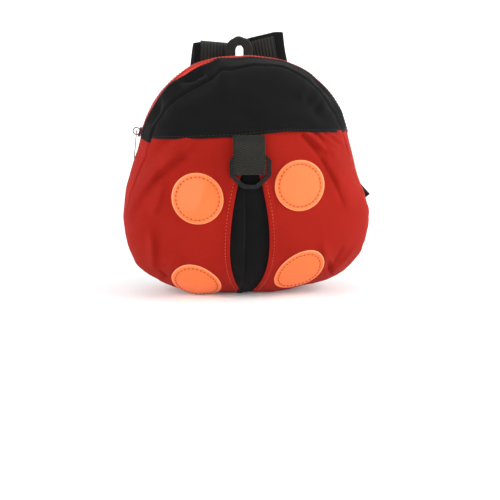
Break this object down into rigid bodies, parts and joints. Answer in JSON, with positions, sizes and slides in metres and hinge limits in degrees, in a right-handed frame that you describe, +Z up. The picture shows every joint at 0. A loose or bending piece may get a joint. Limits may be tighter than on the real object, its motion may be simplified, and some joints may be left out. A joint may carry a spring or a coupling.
{
  "type": "toddler harness backpack",
  "caption": "Small domed cloth backpack for a toddler with round spots, a zip over the top, padded shoulder straps, a grab loop and a webbing D-ring for a leash.",
  "frame": {"origin": "on the flat base that the bag stands on, midway between its sides, just behind the front seam", "axes": "+Z up, -Y to the front with the spots and the ring, +Y to the wearer's back, +X to the right seen from the front"},
  "size_m": [0.2432, 0.122, 0.2443],
  "materials": {
    "black_cloth": "matt black woven polyester",
    "red_cloth": "red woven polyester with a slight sheen",
    "black_webbing": "grey-black ribbed and herringbone webbing",
    "red_zip_tape": "red woven zip tape",
    "red_zip_coil": "red nylon coil",
    "orange_vinyl": "orange vinyl with a soft gloss",
    "black_plastic": "moulded black nylon",
    "red_enamel": "dark red enamelled zinc"
  },
  "bodies": {
    "root": {"yoke": "black_cloth", "wing_left": "red_cloth", "wing_right": "red_cloth", "centre_stripe": "black_cloth", "spot_upper_left": "orange_vinyl", "spot_upper_right": "orange_vinyl", "spot_lower_left": "orange_vinyl", "spot_lower_right": "orange_vinyl", "gusset_lower": "red_cloth", "gusset_front_band": "black_cloth", "gusset_back_band": "red_cloth", "zip_tape_front": "red_zip_tape", "zip_tape_back": "red_zip_tape", "zip_coil": "red_zip_coil", "back_panel": "black_cloth", "zip_slider": "red_enamel", "ring_tab": "black_webbing", "grab_handle": "black_webbing", "strap_pad_left": "black_cloth", "strap_pad_right": "black_cloth", "strap_webbing_left": "black_webbing", "strap_webbing_right": "black_webbing", "lock_left": "black_plastic", "lock_right": "black_plastic", "strap_lower_left": "black_webbing", "strap_lower_right": "black_webbing", "anchor_tab_left": "black_cloth", "anchor_tab_right": "black_cloth"},
    "ring": {"d_ring": "black_plastic"},
    "pull": {"zip_pull": "red_enamel"}
  },
  "joints": [
    {"name": "d_ring_swing", "type": "hinge", "parent": "root", "child": "ring", "pos_m": [-0.0005, -0.05357, 0.136], "axis": [-1, 0, 0], "range_deg": [0, 150]},
    {"name": "zip_pull_swing", "type": "hinge", "parent": "root", "child": "pull", "pos_m": [-0.10273, 0.00622, 0.15535], "axis": [0, 1, 0], "range_deg": [0, 150]}
  ]
}
